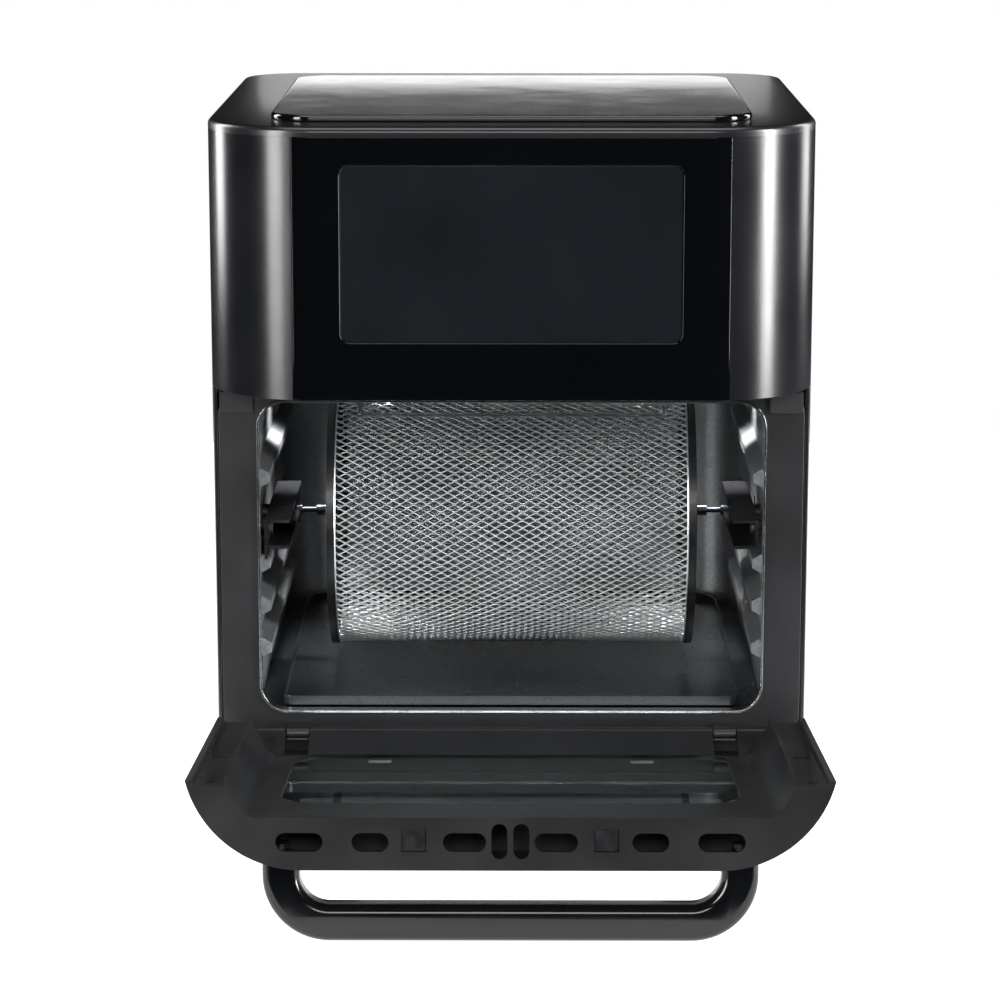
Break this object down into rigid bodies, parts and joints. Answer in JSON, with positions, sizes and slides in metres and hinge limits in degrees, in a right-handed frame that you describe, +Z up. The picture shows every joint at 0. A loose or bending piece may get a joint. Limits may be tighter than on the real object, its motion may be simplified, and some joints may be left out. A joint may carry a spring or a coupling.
{
  "type": "rotisserie oven",
  "caption": "Countertop rotisserie oven with a drop-down glass door, a touch panel above it and a turning mesh basket on a driven spit.",
  "frame": {"origin": "on the counter under the middle of the body, in the plane of the foot pads", "axes": "+Z up, +Y from the door to the back, +X to the right seen from the front"},
  "size_m": [0.3184, 0.4886, 0.3925],
  "materials": {
    "painted_steel": "satin charcoal enamel over sheet steel",
    "satin_housing": "satin charcoal moulding with a fine grain",
    "gloss_black": "polished black moulding",
    "display_glass": "dark tinted cover",
    "matte_black": "matte black moulding",
    "rubber_black": "soft matte",
    "bright_steel": "bright stainless",
    "aluminised_steel": "rolled aluminised sheet",
    "dark_bracket": "black enamelled steel",
    "nonstick": "dark grey non-stick coating",
    "zinc_screw": "zinc plated",
    "heater_alloy": "oxidised heating tube",
    "fan_aluminium": "pressed aluminium",
    "motor_iron": "laminated iron and steel case",
    "circuit_board": "coated board with its components",
    "clear_glass": "clear tempered"
  },
  "bodies": {
    "oven_body": {"base_pan": "painted_steel", "side_panel_left": "painted_steel", "side_panel_right": "painted_steel", "rear_panel": "painted_steel", "rear_screws": "zinc_screw", "feet": "matte_black", "foot_pads": "rubber_black", "foot_screws": "zinc_screw", "front_housing": "satin_housing", "control_panel": "gloss_black", "display_lens": "display_glass", "touch_board": "circuit_board", "top_cover": "gloss_black", "top_island": "gloss_black", "opening_frame": "matte_black", "opening_trim": "bright_steel", "door_bumpers": "rubber_black", "cavity_side_left": "aluminised_steel", "cavity_side_right": "aluminised_steel", "cavity_back": "aluminised_steel", "cavity_ceiling": "aluminised_steel", "cavity_floor": "aluminised_steel", "spit_bracket_left": "dark_bracket", "spit_bracket_right": "dark_bracket", "bracket_screws": "zinc_screw", "fan_guard": "aluminised_steel", "fan_shroud": "aluminised_steel", "heating_element": "heater_alloy", "fan_motor": "motor_iron", "motor_bridge": "aluminised_steel", "temperature_probe": "heater_alloy", "power_board": "circuit_board", "terminal_block": "matte_black", "cord_inlet": "matte_black", "rotisserie_motor": "motor_iron", "magnet_catches": "motor_iron", "hinge_blocks": "dark_bracket", "hinge_pins": "bright_steel"},
    "door": {"door_shell": "matte_black", "door_inner_frame": "matte_black", "outer_glass": "clear_glass", "inner_glass": "clear_glass", "glass_clips": "bright_steel", "door_handle": "gloss_black", "handle_screws": "zinc_screw", "door_strikes": "bright_steel"},
    "basket": {"basket_shell": "bright_steel", "lid_hinge_wire": "bright_steel", "basket_cap_left": "dark_bracket", "basket_cap_right": "dark_bracket", "spit_left": "bright_steel", "spit_right": "bright_steel", "drive_socket": "motor_iron"},
    "lid": {"basket_lid": "bright_steel"},
    "latch": {"lid_latch": "bright_steel"},
    "fan": {"circulation_fan": "fan_aluminium", "cooling_fan": "fan_aluminium", "fan_shaft": "bright_steel"},
    "tray": {"drip_tray": "nonstick"}
  },
  "joints": [
    {"name": "door_hinge", "type": "hinge", "parent": "oven_body", "child": "door", "pos_m": [0, -0.129, 0.06], "axis": [-1, 0, 0], "range_deg": [0, 84]},
    {"name": "basket_spin", "type": "hinge", "parent": "oven_body", "child": "basket", "pos_m": [0, -0.014, 0.1585], "axis": [1, 0, 0], "continuous": true},
    {"name": "fan_spin", "type": "hinge", "parent": "oven_body", "child": "fan", "pos_m": [0, 0.01, 0.3], "axis": [0, 0, 1], "continuous": true},
    {"name": "lid_hinge", "type": "hinge", "parent": "basket", "child": "lid", "pos_m": [0, 0.04237, 0.20855], "axis": [-1, 0, 0], "range_deg": [0, 4]},
    {"name": "latch_slide", "type": "slide", "parent": "lid", "child": "latch", "axis": [-1, 0, 0], "range_m": [0, 0.006]},
    {"name": "tray_slide", "type": "slide", "parent": "oven_body", "child": "tray", "axis": [0, -1, 0], "range_m": [0, 0.02]}
  ]
}
